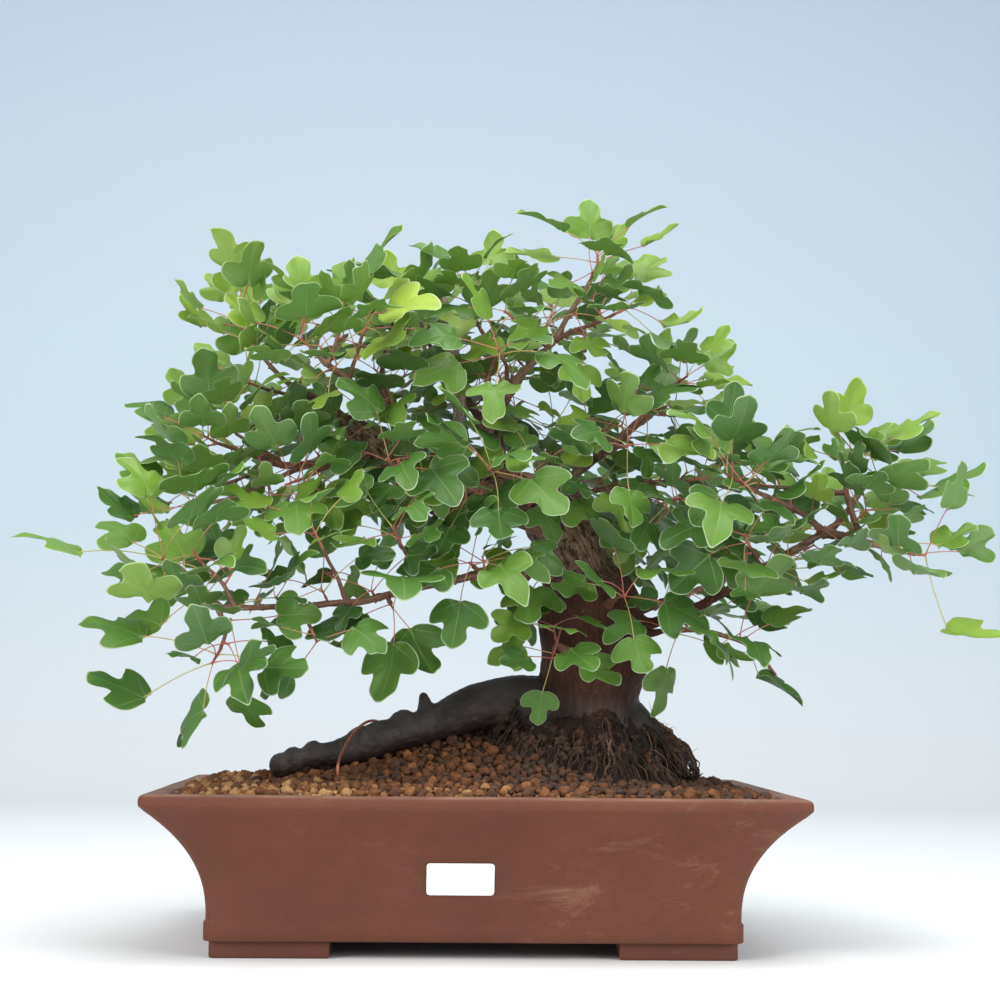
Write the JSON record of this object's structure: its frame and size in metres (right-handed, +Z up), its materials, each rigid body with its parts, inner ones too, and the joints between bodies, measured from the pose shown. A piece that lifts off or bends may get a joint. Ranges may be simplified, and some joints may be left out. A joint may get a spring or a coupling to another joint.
{
  "type": "bonsai tree in a pot",
  "caption": "Small three-lobed maple with a bent trunk, exposed roots and a wide leafy crown, standing in mounded soil in a rectangular stoneware pot with a flared lip.",
  "frame": {"origin": "middle of the whole object's box in X and Y, on the surface the pot stands on", "axes": "+Z up, the pot's front faces -Y, +X to the right seen from the front"},
  "size_m": [0.6572, 0.408, 0.525],
  "materials": {
    "stoneware": "unglazed stoneware, matt brown",
    "screen": "matt",
    "soil": "loose baked clay grains",
    "bark": "rough bark",
    "wire": "copper-coloured soft aluminium",
    "label": "matt paper",
    "leaf": "satin living leaf"
  },
  "bodies": {
    "root": {"pot": "stoneware", "drain_screen_left": "screen", "drain_screen_right": "screen", "soil": "soil", "wood": "bark", "tie_wire": "wire", "label": "label", "shoot_01": "leaf", "shoot_02": "leaf", "shoot_03": "leaf", "shoot_04": "leaf", "shoot_05": "leaf", "shoot_06": "leaf", "shoot_07": "leaf", "shoot_08": "leaf", "shoot_09": "leaf", "shoot_10": "leaf", "shoot_11": "leaf", "shoot_12": "leaf", "shoot_13": "leaf", "shoot_14": "leaf", "shoot_15": "leaf", "shoot_16": "leaf", "shoot_17": "leaf", "shoot_18": "leaf", "shoot_19": "leaf", "shoot_20": "leaf", "shoot_21": "leaf", "shoot_22": "leaf", "shoot_23": "leaf", "shoot_24": "leaf", "shoot_25": "leaf", "shoot_26": "leaf", "shoot_27": "leaf", "shoot_28": "leaf", "shoot_29": "leaf", "shoot_30": "leaf", "shoot_31": "leaf", "shoot_32": "leaf", "shoot_33": "leaf", "shoot_34": "leaf", "shoot_35": "leaf", "shoot_36": "leaf", "shoot_37": "leaf", "shoot_38": "leaf", "shoot_39": "leaf", "shoot_40": "leaf", "shoot_41": "leaf", "shoot_42": "leaf", "shoot_43": "leaf", "shoot_44": "leaf", "shoot_45": "leaf", "shoot_46": "leaf", "shoot_47": "leaf", "shoot_48": "leaf", "shoot_49": "leaf", "shoot_50": "leaf", "shoot_51": "leaf", "shoot_52": "leaf", "shoot_53": "leaf"}
  },
  "joints": []
}
